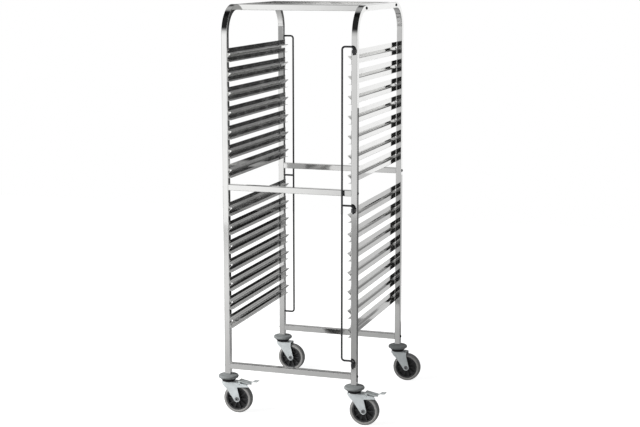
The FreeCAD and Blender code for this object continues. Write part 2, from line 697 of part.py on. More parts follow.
def brake_pedal():
    """Foot lever with a slotted plate, a tilted tip, two ears on the pin and a brake shoe."""
    half_width = FORK_HALF_GAP - PEDAL_SIDE_GAP
    slot_end = PEDAL_BEND[0] - PEDAL_SLOT_END_GAP
    slot_corner = V(slot_end - PEDAL_SLOT_LENGTH, -PEDAL_SLOT_WIDTH / 2, 0)
    slot = Part.makeBox(PEDAL_SLOT_LENGTH, PEDAL_SLOT_WIDTH, FRAME_TOP, slot_corner)
    plate = pedal_plate([PEDAL_START, PEDAL_BEND], 2 * half_width).cut(slot)
    neck_root = (PEDAL_BEND[0] - PEDAL_SHEET, pedal_height(PEDAL_BEND[0] - PEDAL_SHEET) - PEDAL_SHEET / 2)
    neck = pedal_plate([neck_root, PEDAL_BEND, PEDAL_NECK, PEDAL_TIP], PEDAL_NECK_WIDTH)
    tip = pedal_plate([PEDAL_NECK, PEDAL_TIP], PEDAL_TIP_WIDTH)
    pieces = [plate, neck, tip, brake_shoe()]
    ear_end_x = BRAKE_PIVOT_X + PEDAL_EAR_RADIUS
    for ear_y in (-half_width, half_width - PEDAL_SHEET):
        boss_start = V(BRAKE_PIVOT_X, ear_y, BRAKE_PIVOT_Z)
        pieces.append(cylinder(PEDAL_EAR_RADIUS, boss_start, boss_start + V(0, PEDAL_SHEET, 0)))
        pieces.append(pedal_wall(PEDAL_START[0], ear_end_x, BRAKE_PIVOT_Z, ear_y, PEDAL_SHEET))
    pin_hole = cross_hole(BRAKE_PIN_RADIUS + BRAKE_PIN_FIT, BRAKE_PIVOT_X, BRAKE_PIVOT_Z)
    return fused(pieces).cut(pin_hole)


def brake_pin():
    """Rivet through the fork cheeks that the pedal turns on."""
    end = FORK_HALF_WIDTH + BRAKE_PIN_HEAD
    half = [
        (0, end),
        (BRAKE_PIN_HEAD_RADIUS, end),
        (BRAKE_PIN_HEAD_RADIUS, FORK_HALF_WIDTH),
        (BRAKE_PIN_RADIUS, FORK_HALF_WIDTH),
    ]
    other_half = [(radius, -height) for radius, height in half[::-1]]
    return along_y(lathe(straight_edges(half + other_half + half[:1])), BRAKE_PIVOT_X, BRAKE_PIVOT_Z)


def frame_nodes():
    """Side frames, crossbars and what bolts them together."""
    nodes = {"side_frame_left": side_frame(-1), "side_frame_right": side_frame(1)}
    for name, (y, z) in CROSSBARS.items():
        nodes[name] = crossbar(y, z)
    bolt = moved(turned(crossbar_bolt(), Y_AXIS, 90), FRAME_WIDTH / 2, 0, 0)
    block = moved(bar_end_block(), INNER_X - BLOCK_LENGTH, 0, 0)
    nodes["crossbar_bolts"] = at_bar_ends(bolt)
    nodes["crossbar_end_blocks"] = at_bar_ends(block)
    return nodes


def rail_nodes():
    """One pair of rails for each tray level, numbered from the top."""
    left = left_rail()
    pair = Part.makeCompound([left, left.mirror(ORIGIN, X_AXIS)])
    nodes = {}
    for level, z in enumerate(ledge_heights(), start=1):
        nodes["tray_rails_%02d" % level] = moved(pair, 0, 0, z)
    return nodes


def retainer_nodes():
    """Front retainer and its eyes, and the same pair half a turn round at the rear."""
    bar = front_retainer()
    eyes = front_eyes()
    return {
        "retainer_bar_front": bar,
        "retainer_eyes_front": eyes,
        "retainer_bar_rear": turned(bar, Z_AXIS, 180),
        "retainer_eyes_rear": turned(eyes, Z_AXIS, 180),
    }


def caster_nodes():
    """The four casters, all trailing to the right."""
    shared = {
        "bumper": bumper(),
        "caster_stem": stem(),
        "swivel_race": swivel_race(),
        "axle": axle(),
        "wheel_hub": wheel_hub(),
        "tyre": tyre(),
    }
    forks = {True: fork(True), False: fork(False)}
    brake = {"brake_pedal": brake_pedal(), "brake_pin": brake_pin()}
    nodes = {}
    for place, (x, y) in CASTERS.items():
        braked = place in BRAKED_CASTERS
        pieces = dict(shared, fork=forks[braked])
        if braked:
            pieces.update(brake)
        for name, shape in pieces.items():
            nodes[name + "_" + place] = moved(shape, x, y, 0)
    return nodes


def main():
    os.makedirs("parts", exist_ok=True)
    nodes = {}
    for group in (frame_nodes(), rail_nodes(), retainer_nodes(), caster_nodes()):
        nodes.update(group)
    for name, shape in nodes.items():
        shape.exportStep("parts/" + name + ".step")


main()
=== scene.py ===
"""Finishes, welds, rubber pieces, light and camera for a gastronorm tray trolley."""

import math

import bmesh
import bpy
from bpy.props import FloatProperty, FloatVectorProperty, IntProperty, PointerProperty
from mathutils import Matrix, Vector


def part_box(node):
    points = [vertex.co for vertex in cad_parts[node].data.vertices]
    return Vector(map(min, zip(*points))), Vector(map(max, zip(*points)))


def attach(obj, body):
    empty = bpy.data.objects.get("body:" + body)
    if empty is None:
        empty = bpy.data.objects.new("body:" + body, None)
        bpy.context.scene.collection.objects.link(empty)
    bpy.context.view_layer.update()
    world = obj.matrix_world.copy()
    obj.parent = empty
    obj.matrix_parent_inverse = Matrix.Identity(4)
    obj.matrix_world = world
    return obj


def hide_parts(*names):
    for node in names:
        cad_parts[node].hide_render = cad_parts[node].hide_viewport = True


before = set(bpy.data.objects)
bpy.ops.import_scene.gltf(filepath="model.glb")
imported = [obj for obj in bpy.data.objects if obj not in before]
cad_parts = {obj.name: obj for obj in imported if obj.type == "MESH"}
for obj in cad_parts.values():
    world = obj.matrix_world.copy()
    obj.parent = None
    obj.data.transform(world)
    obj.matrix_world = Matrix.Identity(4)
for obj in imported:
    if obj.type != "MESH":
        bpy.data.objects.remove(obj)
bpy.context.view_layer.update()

bl_info = {
    "name": "Tray trolley",
    "version": (1, 0, 0),
    "blender": (4, 5, 0),
    "location": "3D View > Sidebar > Trolley",
    "description": "Dresses the tray trolley with metal, rubber, welds and a studio",
    "category": "Object",
}

# Pieces that the frame holds several times
PLACES = ("front_left", "front_right", "rear_left", "rear_right")
BRAKED_PLACES = ("front_left", "front_right")
ENDS = ("front", "rear")
LEVELS = ("top", "middle", "bottom")
RAIL_COUNT = 14

# Sizes in metres that a node's box doesn't show
RAIL_SHEET = 0.0012
SPOT_FROM_END = 0.0115
TYRE_FIT = 0.0001
BUMPER_BORE = 0.006

# Small forms of the tyres and bumpers, in metres, and the moulded ring's place as a share of the tyre's side
TYRE_EDGE = 0.0012
RING_PLACE = 0.38
RING_SLOPE = 0.0005
RING_WIDTH = 0.0022
TYRE_LINE = (0.0006, 0.0003)
SEAT_EDGE = (0.001, 0.0003)
BUMPER_LINE = 0.0002

# Least and greatest size of a weld ripple, as shares of the bead's radius
RIPPLE_SIZES = (0.82, 1.12)

# Folds sharper than this many degrees stay sharp, and points nearer than this many metres are one
SHARP_FOLD = 35
MERGE_GAP = 1e-6
TOUCH_GAP = 1e-4

# Part of a noise's range that a pattern uses, and the streaks of a polish along each axis
NOISE_SPAN = (0.3, 0.7)
POLISHED_ALONG_X = (9.0, 900.0, 900.0)
POLISHED_ALONG_Y = (900.0, 9.0, 900.0)
POLISHED_ALONG_Z = (900.0, 900.0, 9.0)

# Upright cards that only polished metal mirrors: name, line on the floor, lowest and highest edge, shade.
# The face is on the right-hand side of the line from its first point to its second.
CARDS = (
    ("rail_card", (0.07, 1.2), (0.47, 1.2), (0.0, 0.6), "dark_card"),
    ("web_card", (0.50, 1.4), (1.10, 1.4), (0.0, 0.8), "pale_card"),
    ("bar_card", (-0.33, -0.16), (-0.33, 0.12), (0.880, 0.965), "grey_card"),
    ("bar_end_card", (-0.33, -0.36), (-0.33, -0.16), (0.880, 0.965), "shade_card"),
    ("side_card", (0.305, -0.25), (0.36, -0.25), (0.15, 1.32), "shade_card"),
    ("end_card", (0.51, -0.2), (0.37, -0.2), (0.15, 1.62), "dark_card"),
    ("post_card", (-0.86, -1.5), (-1.60, -1.5), (1.2, 1.9), "grey_card"),
)

# Corners of the card that lies in front of the trolley, and its height above the floor
FRONT_CARD = ((-1.45, -5.2), (0.40, -5.2), (0.40, -1.1), (-0.19, -1.1))
CARD_LIFT = 0.002

# The room that polished metal mirrors. Each range gives where a shade starts and is full, and its two levels;
# it is read over a direction's height, over its part along Y, or over its nearness to a heading as a cosine.
WALLS_TO_CEILING = (0.0, 0.42, 0.0, 1.0)
CEILING = 0.02
SKYLIGHT_REAR = (0.0, 0.4, 0.0, 1.0)
SKYLIGHT_RISE = (0.5, 0.8, 0.0, 0.38)
FRONT_HEADING = (0.29, -0.957, 0.0)
FRONT_SHADE = (0.775, 0.895, 1.0, 0.38)
LEFT_HEADING = (-0.99, -0.12, 0.0)
LEFT_SHADE = (0.80, 0.92, 1.0, 0.30)
REAR_HEADING = (0.373, 0.928, 0.0)
REAR_EDGE = (0.99678, 0.99889, 0.0, 1.0)
REAR_DUSK = (-0.02, 0.26, 0.03, 0.50)

# Lamp, in metres
LAMP_PLACE = (-3.6, -2.8, 2.9)
LAMP_AIM = (0.0, 0.0, 0.5)
LAMP_SIZE = 2.2

# The photo's width in pixels, the sensor that the lens is given for, and how far the camera sees
PHOTO_WIDTH = 640
SENSOR_WIDTH = 36.0
CAMERA_REACH = 60.0


def colour(label, text, value):
    """Colour property with linear red, green and blue."""
    return FloatVectorProperty(
        name=label, description=text, subtype="COLOR", size=3, min=0, max=1, default=value)


def length(label, text, value):
    """Length property in metres."""
    return FloatProperty(name=label, description=text, unit="LENGTH", min=0, precision=4, default=value)


def amount(label, text, value):
    """Plain number property."""
    return FloatProperty(name=label, description=text, default=value)


def whole(label, text, value):
    """Whole number property."""
    return IntProperty(name=label, description=text, default=value)


def angle(label, text, degrees):
    """Angle property given in degrees."""
    return FloatProperty(name=label, description=text, subtype="ANGLE", default=math.radians(degrees))


class TrolleyFinish(bpy.types.PropertyGroup):
    """Colours of the trolley's materials."""
    tube: colour("Tube", "Polished stainless tube", (0.90, 0.90, 0.89))
    rail: colour("Rail", "Polished stainless sheet", (0.88, 0.88, 0.87))
    # The bolts' near-black colour is a painted dark reflection of their polished domed heads.
    bolt: colour("Bolt", "Dark polished bolt heads", (0.035, 0.035, 0.036))
    wire: colour("Wire", "Coat of the retainer bars", (0.050, 0.051, 0.054))
    eye: colour("Eye", "Dark coat of the retainer eyes", (0.060, 0.061, 0.064))
    weld: colour("Weld", "Bare weld metal", (0.48, 0.46, 0.43))
    zinc: colour("Zinc", "Plated forks and pins", (0.85, 0.90, 0.91))
    pedal: colour("Pedal", "Plated brake pedals", (0.74, 0.78, 0.78))
    # Partly painted shade: the axles are darker than the forks so that their heads stand for the shaded
    # socket at the fork's foot.
    axle: colour("Axle", "Dull steel of the axles", (0.34, 0.35, 0.36))
    # The race's near-black colour is painted shade: it stands for the shadow under the bumper.
    race: colour("Race", "Darkened swivel races", (0.020, 0.020, 0.022))
    hub: colour("Hub", "Moulded wheel centres", (0.054, 0.055, 0.057))
    tyre: colour("Tyre", "Grey rubber sides of the tyres", (0.36, 0.355, 0.345))
    # The tread's darker colour is painted shade, for the tread that turns away from the lamp.
    tread: colour("Tread", "Shaded treads of the tyres", (0.25, 0.25, 0.246))
    bumper: colour("Bumper", "Soft round bumpers", (0.26, 0.275, 0.275))


class TrolleyDetail(bpy.types.PropertyGroup):
    """Sizes of the small forms that dress the trolley."""
    spot_radius: length("Spot radius", "Weld spots on the rail ends", 0.0030)
    spot_height: length("Spot height", "How far a weld spot stands out", 0.0005)
    spot_inset: length("Spot inset", "Distance of a weld spot from the rail's long edges", 0.0085)
    bead_radius: length("Bead radius", "Half width of the weld beads at the eyes", 0.0016)
    bead_pitch: length("Bead pitch", "Distance between the ripples of a bead", 0.0013)
    bead_seed: whole("Bead seed", "Seed for the unevenness of the beads", 3)
    tread_round: length("Tread round", "Rounding of the tread's edges", 0.0050)
    tyre_ring: length("Tyre ring", "Height of the moulded ring on the tyre's side", 0.0005)
    mould_line: length("Mould line", "Height of the line that the mould leaves", 0.0003)
    bumper_seat: length("Bumper seat", "Radius of the flat that the post stands on", 0.0210)
    bumper_drop: length("Bumper drop", "How far the bumper slopes from seat to rim", 0.0030)
    bumper_round: length("Bumper round", "Depth of the bumper's round rim", 0.0070)
    segments: whole("Segments", "Facets round a turned piece", 128)


class TrolleyStudio(bpy.types.PropertyGroup):
    """Camera, floor and light."""
    camera_place: FloatVectorProperty(
        name="Camera place", description="Where the camera stands", subtype="TRANSLATION", unit="LENGTH",
        size=3, default=(1.9815, -5.9788, 1.9204))
    camera_yaw: angle("Camera yaw", "Turn from +Y towards +X", -18.183)
    camera_pitch: angle("Camera pitch", "Tilt above the horizon", -9.133)
    camera_roll: angle("Camera roll", "Turn about the line of sight", -0.043)
    focal_pixels: amount("Focal length", "Focal length in photo pixels", 1453.8)
    shift_up: amount("Shift", "Lens shift as a share of the photo's width", -0.03)
    floor_size: length("Floor size", "Side of the square floor", 9.0)
    floor_colour: colour("Floor", "Pale floor", (0.45, 0.45, 0.45))
    floor_glow: amount("Floor glow", "Light added to the floor for the camera", 0.86)
    room_light: amount("Room light", "Even light from all round", 0.34)
    key_power: amount("Key power", "Large soft lamp, front left", 330.0)
    dark_card: colour("Dark card", "Cards that the rails and their rear ends mirror", (0.012, 0.012, 0.012))
    shade_card: colour("Shade card", "Cards that the rear middle bar and a post mirror", (0.12, 0.12, 0.12))
    grey_card: colour("Grey card", "Cards that bars and posts mirror", (0.36, 0.36, 0.36))
    pale_card: colour("Pale card", "Card that the lower right rails mirror", (0.62, 0.62, 0.62))


class Shader:
    """Adds and joins the nodes of one material or world."""

    def __init__(self, owner):
        owner.use_nodes = True
        self.tree = owner.node_tree
        self.nodes = self.tree.nodes

    def add(self, kind, **settings):
        """New node with its settings."""
        node = self.nodes.new(kind)
        for key, value in settings.items():
            setattr(node, key, value)
        return node

    def join(self, source, target):
        """Link between two sockets."""
        self.tree.links.new(source, target)

    def put(self, value, socket):
        """A number, a colour or another node's output into an input."""
        if isinstance(value, bpy.types.NodeSocket):
            self.join(value, socket)
        else:
            socket.default_value = value

    def spread(self, value, start, end, low, high, smooth=False):
        """One range of a value stretched to another range."""
        node = self.add("ShaderNodeMapRange", interpolation_type="SMOOTHSTEP" if smooth else "LINEAR")
        for label, number in (("From Min", start), ("From Max", end), ("To Min", low), ("To Max", high)):
            node.inputs[label].default_value = number
        self.join(value, node.inputs["Value"])
        return node.outputs["Result"]

    def math(self, operation, first, second):
        """Sum, product or the like of two values."""
        node = self.add("ShaderNodeMath", operation=operation)
        self.put(first, node.inputs[0])
        self.put(second, node.inputs[1])
        return node.outputs["Value"]

    def between(self, factor, first, second):
        """Value between two others."""
        return self.math("ADD", first, self.math("MULTIPLY", factor, self.math("SUBTRACT", second, first)))

    def blend(self, factor, first, second):
        """Mixed shader of two shaders."""
        node = self.add("ShaderNodeMixShader")
        self.put(factor, node.inputs["Fac"])
        self.join(first, node.inputs[1])
        self.join(second, node.inputs[2])
        return node.outputs["Shader"]


class Surface(Shader):
    """One procedural material that reads object coordinates."""

    def __init__(self, name, metallic):
        self.material = bpy.data.materials.new(name)
        super().__init__(self.material)
        self.principled = self.nodes["Principled BSDF"]
        self.principled.inputs["Metallic"].default_value = metallic

    def noise(self, scale, detail):
        """Noise over object coordinates, drawn out into streaks where the scales differ."""
        coordinates = self.add("ShaderNodeTexCoord")
        mapping = self.add("ShaderNodeMapping")
        mapping.inputs["Scale"].default_value = scale
        node = self.add("ShaderNodeTexNoise")
        node.inputs["Scale"].default_value = 1.0
        node.inputs["Detail"].default_value = detail
        self.join(coordinates.outputs["Object"], mapping.inputs["Vector"])
        self.join(mapping.outputs["Vector"], node.inputs["Vector"])
        return node.outputs["Fac"]

    def tint(self, factor, light, share):
        """Base colour that varies down to a share of itself."""
        node = self.add("ShaderNodeMix", data_type="RGBA")
        dark_socket, light_socket = (socket for socket in node.inputs if socket.type == "RGBA")
        dark_socket.default_value = (*(channel * share for channel in light), 1.0)
        light_socket.default_value = (*light, 1.0)
        self.join(self.spread(factor, *NOISE_SPAN, 0.0, 1.0), node.inputs["Factor"])
        result = next(socket for socket in node.outputs if socket.type == "RGBA")
        self.join(result, self.principled.inputs["Base Color"])

    def sheen(self, factor, smoothest, roughest):
        """Roughness that varies between two values."""
        rough = self.spread(factor, *NOISE_SPAN, smoothest, roughest)
        self.join(rough, self.principled.inputs["Roughness"])

    def relief(self, factor, strength, depth):
        """Fine relief of the surface."""
        node = self.add("ShaderNodeBump")
        node.inputs["Strength"].default_value = strength
        node.inputs["Distance"].default_value = depth
        self.join(factor, node.inputs["Height"])
        self.join(node.outputs["Normal"], self.principled.inputs["Normal"])


def even(scale):
    """The same scale along all three axes."""
    return (scale, scale, scale)


def polished_steel(name, light, grain):
    """Stainless steel polished along one axis, with faint streaks and cloudy wiping marks."""
    surface = Surface(name, metallic=1.0)
    clouds = surface.noise(even(14.0), detail=4.0)
    surface.tint(clouds, light, share=0.94)
    surface.sheen(clouds, smoothest=0.05, roughest=0.10)
    surface.relief(surface.noise(grain, detail=4.0), strength=0.008, depth=0.0002)
    return surface.material


def satin_metal(name, light, rough, metallic):
    """Plated or bare metal with a fine fleck and an uneven sheen."""
    surface = Surface(name, metallic)
    flecks = surface.noise(even(260.0), detail=3.0)
    surface.tint(surface.noise(even(38.0), detail=3.0), light, share=0.86)
    surface.sheen(flecks, smoothest=rough - 0.02, roughest=rough + 0.03)
    surface.relief(flecks, strength=0.006, depth=0.0002)
    return surface.material


def coated_wire(name, light):
    """Dark satin coat with a faint orange peel and rubbed patches."""
    surface = Surface(name, metallic=0.35)
    rubbed = surface.noise((60.0, 60.0, 12.0), detail=5.0)
    surface.tint(rubbed, light, share=0.62)
    surface.sheen(rubbed, smoothest=0.30, roughest=0.44)
    surface.relief(surface.noise(even(700.0), detail=2.0), strength=0.06, depth=0.0002)
    return surface.material


def moulded_rubber(name, light, rough):
    """Grey rubber with a fine grain and a dusty bloom."""
    surface = Surface(name, 0.0)
    bloom = surface.noise(even(45.0), detail=5.0)
    surface.tint(bloom, light, share=0.86)
    surface.sheen(bloom, smoothest=rough - 0.08, roughest=rough + 0.10)
    surface.relief(surface.noise(even(1100.0), detail=3.0), strength=0.18, depth=0.0003)
    return surface.material


def moulded_plastic(name, light):
    """Black moulded plastic with a fine grain and duller handling marks."""
    surface = Surface(name, 0.0)
    marks = surface.noise((90.0, 30.0, 90.0), detail=6.0)
    surface.tint(marks, light, share=0.55)
    surface.sheen(marks, smoothest=0.38, roughest=0.58)
    surface.relief(surface.noise(even(1500.0), detail=2.0), strength=0.12, depth=0.0002)
    return surface.material


def dress(node, material):
    """Gives a node of the frame its material."""
    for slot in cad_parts[node].material_slots:
        slot.material = material


def new_piece(name, points, lines=()):
    """Mesh object of loose points or lines, for a node tree to work on."""
    mesh = bpy.data.meshes.new(name)
    mesh.from_pydata(points, lines, [])
    piece = bpy.data.objects.new(name, mesh)
    bpy.context.scene.collection.objects.link(piece)
    return piece


class Tree:
    """Adds and joins the nodes of one geometry tree with named sizes."""

    def __init__(self, name, sizes):
        self.tree = bpy.data.node_groups.new(name, "GeometryNodeTree")
        interface = self.tree.interface
        interface.new_socket("Geometry", in_out="INPUT", socket_type="NodeSocketGeometry")
        interface.new_socket("Geometry", in_out="OUTPUT", socket_type="NodeSocketGeometry")
        self.values = {}
        for label, value in sizes.items():
            kind = "NodeSocketInt" if isinstance(value, int) else "NodeSocketFloat"
            socket = interface.new_socket(label, in_out="INPUT", socket_type=kind)
            self.values[socket.identifier] = value
        self.source = self.tree.nodes.new("NodeGroupInput")
        self.target = self.tree.nodes.new("NodeGroupOutput")

    def add(self, kind, **values):
        """New node, with values or other nodes' outputs put into its inputs by name."""
        node = self.tree.nodes.new(kind)
        for label, value in values.items():
            self.put(value, node.inputs[label.replace("_", " ")])
        return node

    def put(self, value, socket):
        """A value or another node's output into an input."""
        if isinstance(value, bpy.types.NodeSocket):
            self.tree.links.new(value, socket)
        else:
            socket.default_value = value

    def size(self, label):
        """Output of one named size, or of the geometry handed in."""
        return self.source.outputs[label]

    def close(self, geometry, material):
        """Ends the tree in real geometry with a material."""
        realize = self.add("GeometryNodeRealizeInstances", Geometry=geometry)
        paint = self.add("GeometryNodeSetMaterial", Geometry=realize.outputs["Geometry"], Material=material)
        self.tree.links.new(paint.outputs["Geometry"], self.target.inputs["Geometry"])

    def run(self, piece):
        """Runs the tree on a piece and leaves a plain mesh."""
        modifier = piece.modifiers.new(self.tree.name, "NODES")
        modifier.node_group = self.tree
        for identifier, value in self.values.items():
            modifier[identifier] = value
        graph = bpy.context.evaluated_depsgraph_get()
        mesh = bpy.data.meshes.new_from_object(piece.evaluated_get(graph))
        piece.modifiers.clear()
        piece.data = mesh


def lathe_tree(name, radius, segments, material):
    """Sweeps a closed outline round a circle."""
    tree = Tree(name, {"Radius": radius, "Segments": segments})
    outline = tree.add("GeometryNodeMeshToCurve", Mesh=tree.size("Geometry"))
    path = tree.add("GeometryNodeCurvePrimitiveCircle",
                    Resolution=tree.size("Segments"), Radius=tree.size("Radius"))
    sweep = tree.add("GeometryNodeCurveToMesh",
                     Curve=path.outputs["Curve"], Profile_Curve=outline.outputs["Curve"])
    tree.close(sweep.outputs["Mesh"], material)
    return tree


def spot_tree(name, radius, height, material):
    """Puts a flat weld lens, which faces left and right, on every point."""
    tree = Tree(name, {"Radius": radius, "Height": height})
    ball = tree.add("GeometryNodeMeshUVSphere", Segments=20, Rings=10, Radius=1.0)
    scale = tree.add("ShaderNodeCombineXYZ",
                     X=tree.size("Height"), Y=tree.size("Radius"), Z=tree.size("Radius"))
    spots = tree.add("GeometryNodeInstanceOnPoints", Points=tree.size("Geometry"),
                     Instance=ball.outputs["Mesh"], Scale=scale.outputs["Vector"])
    tree.close(spots.outputs["Instances"], material)
    return tree


def bead_tree(name, radius, pitch, seed, material):
    """Lays an uneven row of weld ripples along every line."""
    tree = Tree(name, {"Radius": radius, "Pitch": pitch, "Seed": seed})
    path = tree.add("GeometryNodeMeshToCurve", Mesh=tree.size("Geometry"))
    points = tree.tree.nodes.new("GeometryNodeCurveToPoints")
    points.mode = "LENGTH"
    tree.put(path.outputs["Curve"], points.inputs["Curve"])
    tree.put(tree.size("Pitch"), points.inputs["Length"])
    ripple = tree.add("GeometryNodeMeshIcoSphere", Radius=tree.size("Radius"), Subdivisions=3)
    uneven = tree.add("FunctionNodeRandomValue", Seed=tree.size("Seed"))
    low, high = [socket for socket in uneven.inputs if socket.type == "VALUE"][:2]
    low.default_value, high.default_value = RIPPLE_SIZES
    scale = next(socket for socket in uneven.outputs if socket.type == "VALUE")
    beads = tree.add("GeometryNodeInstanceOnPoints", Points=points.outputs["Points"],
                     Instance=ripple.outputs["Mesh"], Scale=scale)
    tree.close(beads.outputs["Instances"], material)
    return tree


def turned_piece(name, outline, turn, centre, segments, material):
    """Piece turned about an axis through the centre, from a closed outline of (radius, height) points."""
    middle = sum(radius for radius, height in outline) / len(outline)
    points = [(radius - middle, -height, 0.0) for radius, height in outline]
    count = len(points)
    piece = new_piece(name, points, [(index, (index + 1) % count) for index in range(count)])
    lathe_tree(name + "_lathe", middle, segments, material).run(piece)
    piece.data.transform(Matrix.Translation(centre) @ turn)
    smooth(piece)
    return piece


def smooth(piece):
    """Turns all faces outwards and shades them smoothly up to sharp folds."""
    shape = bmesh.new()
    shape.from_mesh(piece.data)
    bmesh.ops.remove_doubles(shape, verts=shape.verts, dist=MERGE_GAP)
    bmesh.ops.recalc_face_normals(shape, faces=shape.faces)
    shape.to_mesh(piece.data)
    shape.free()
    piece.data.shade_smooth()
    piece.data.set_sharp_from_angle(angle=math.radians(SHARP_FOLD))


def arc(centre, across, up, start, end, steps):
    """Points on part of an ellipse between two angles in degrees, both ends included."""
    points = []
    for step in range(steps + 1):
        turn = math.radians(start + (end - start) * step / steps)
        points.append((centre[0] + across * math.cos(turn), centre[1] + up * math.sin(turn)))
    return points


def tyre_outline(inner, outer, half, detail):
    """Half section of the tyre as (radius, height) points: ribbed sides, round edges and a mould line."""
    tread = outer - detail.mould_line
    shoulder = tread - detail.tread_round
    flat = half - detail.tread_round
    ring = inner + (shoulder - inner) * RING_PLACE
    foot, crest = TYRE_LINE
    side = [
        (inner, half - TYRE_EDGE),
        (inner + TYRE_EDGE, half),
        (ring, half),
        (ring + RING_SLOPE, half + detail.tyre_ring),
        (ring + RING_WIDTH - RING_SLOPE, half + detail.tyre_ring),
        (ring + RING_WIDTH, half),
    ]
    side += arc((shoulder, flat), detail.tread_round, detail.tread_round, start=90, end=0, steps=8)
    side += [(tread, foot), (outer, crest)]
    return side + [(radius, -height) for radius, height in reversed(side)]


def bumper_outline(radius, height, detail):
    """Section of a bumper as (radius, height) points: flat seat, sloping shoulder, round rim, mould line."""
    half = height / 2
    rim = radius - detail.bumper_round
    shoulder = half - detail.bumper_drop
    seat = detail.bumper_seat
    edge_width, edge_depth = SEAT_EDGE
    upper = [(BUMPER_BORE, half), (seat - edge_width, half), (seat, half - edge_depth)]
    upper += arc((rim, 0.0), detail.bumper_round - detail.mould_line, shoulder, start=90, end=4, steps=12)
    upper += [(radius, BUMPER_LINE)]
    return upper + [(across, -up) for across, up in reversed(upper)]


def box_middle(node):
    """Centre and size of a node's box."""
    low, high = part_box(node)
    return (low + high) / 2, high - low


def hand_over(piece, body):
    """Binds a finished piece to its body."""
    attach(piece, body)


class TROLLEY_OT_frame(bpy.types.Operator):
    """Polishes the bent side frames and the crossbars"""
    bl_idname = "trolley.frame"
    bl_label = "Polish frame"

    def execute(self, context):
        finish = context.scene.trolley_finish
        upright = polished_steel("polished_tube_upright", finish.tube, POLISHED_ALONG_Z)
        for side in ("left", "right"):
            dress("side_frame_" + side, upright)
        level = polished_steel("polished_tube_level", finish.tube, POLISHED_ALONG_X)
        for end in ENDS:
            for place in LEVELS:
                dress("crossbar_%s_%s" % (end, place), level)
        return {"FINISHED"}


class TROLLEY_OT_fasteners(bpy.types.Operator):
    """Finishes the crossbar bolts and the threaded blocks inside the bars"""
    bl_idname = "trolley.fasteners"
    bl_label = "Finish fasteners"

    def execute(self, context):
        finish = context.scene.trolley_finish
        # Painted reflection: the bolt heads' near-black colour stands for the dark surroundings that they
        # mirror.
        dress("crossbar_bolts", satin_metal("bolt_head_painted_reflection", finish.bolt, rough=0.22, metallic=0.9))
        dress("crossbar_end_blocks", satin_metal("block_steel", finish.weld, rough=0.40, metallic=0.9))
        return {"FINISHED"}


class TROLLEY_OT_rails(bpy.types.Operator):
    """Polishes the tray rails and sets the weld spots on their ends"""
    bl_idname = "trolley.rails"
    bl_label = "Finish tray rails"

    def execute(self, context):
        finish = context.scene.trolley_finish
        detail = context.scene.trolley_detail
        sheet = polished_steel("polished_rail_sheet", finish.rail, POLISHED_ALONG_Y)
        points = []
        for number in range(1, RAIL_COUNT + 1):
            rail = "tray_rails_%02d" % number
            dress(rail, sheet)
            low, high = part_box(rail)
            for x in (low.x + RAIL_SHEET, high.x - RAIL_SHEET):
                for y in (low.y + SPOT_FROM_END, high.y - SPOT_FROM_END):
                    points.append((x, y, low.z + detail.spot_inset))
                    points.append((x, y, high.z - detail.spot_inset))
        spots = new_piece("rail_weld_spots", points)
        weld = satin_metal("weld_spot", finish.weld, rough=0.30, metallic=0.9)
        spot_tree("weld_spots", detail.spot_radius, detail.spot_height, weld).run(spots)
        smooth(spots)
        hand_over(spots, "frame")
        return {"FINISHED"}


class TROLLEY_OT_retainers(bpy.types.Operator):
    """Coats the retainer bars and lays weld beads at the roots of their eyes"""
    bl_idname = "trolley.retainers"
    bl_label = "Finish retainers"

    def execute(self, context):
        finish = context.scene.trolley_finish
        detail = context.scene.trolley_detail
        coat = coated_wire("retainer_coat", finish.wire)
        eye_coat = coated_wire("eye_coat", finish.eye)
        points = []
        for end in ENDS:
            dress("retainer_bar_" + end, coat)
            eyes = "retainer_eyes_" + end
            dress(eyes, eye_coat)
            points += eye_roots(eyes, detail.bead_radius)
        lines = [(index, index + 1) for index in range(0, len(points), 2)]
        beads = new_piece("eye_weld_beads", points, lines)
        weld = satin_metal("weld_bead", finish.weld, rough=0.34, metallic=0.9)
        rows = bead_tree("weld_beads", detail.bead_radius, detail.bead_pitch, detail.bead_seed, weld)
        rows.run(beads)
        smooth(beads)
        hand_over(beads, "frame")
        return {"FINISHED"}


def eye_roots(eyes, margin):
    """Pairs of points along both upright root edges of every eye, against the post's face."""
    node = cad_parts[eyes]
    low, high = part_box(eyes)
    face = high.y if high.y < 0 else low.y
    corners = [node.matrix_world @ vertex.co for vertex in node.data.vertices]
    heights = sorted({round(corner.z, 5) for corner in corners if abs(corner.y - face) < TOUCH_GAP})
    points = []
    for bottom, top in zip(heights[0::2], heights[1::2]):
        for x in (low.x, high.x):
            points += [(x, face, bottom + margin), (x, face, top - margin)]
    return points


class TROLLEY_OT_bumpers(bpy.types.Operator):
    """Turns the soft round bumpers under the posts"""
    bl_idname = "trolley.bumpers"
    bl_label = "Make bumpers"

    def execute(self, context):
        detail = context.scene.trolley_detail
        rubber = moulded_rubber("bumper_rubber", context.scene.trolley_finish.bumper, rough=0.55)
        for place in PLACES:
            node = "bumper_" + place
            centre, size = box_middle(node)
            outline = bumper_outline(size.x / 2, size.z, detail)
            piece = turned_piece(
                "soft_bumper_" + place, outline, Matrix(), centre, detail.segments, rubber)
            hand_over(piece, "frame")
            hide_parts(node)
        return {"FINISHED"}


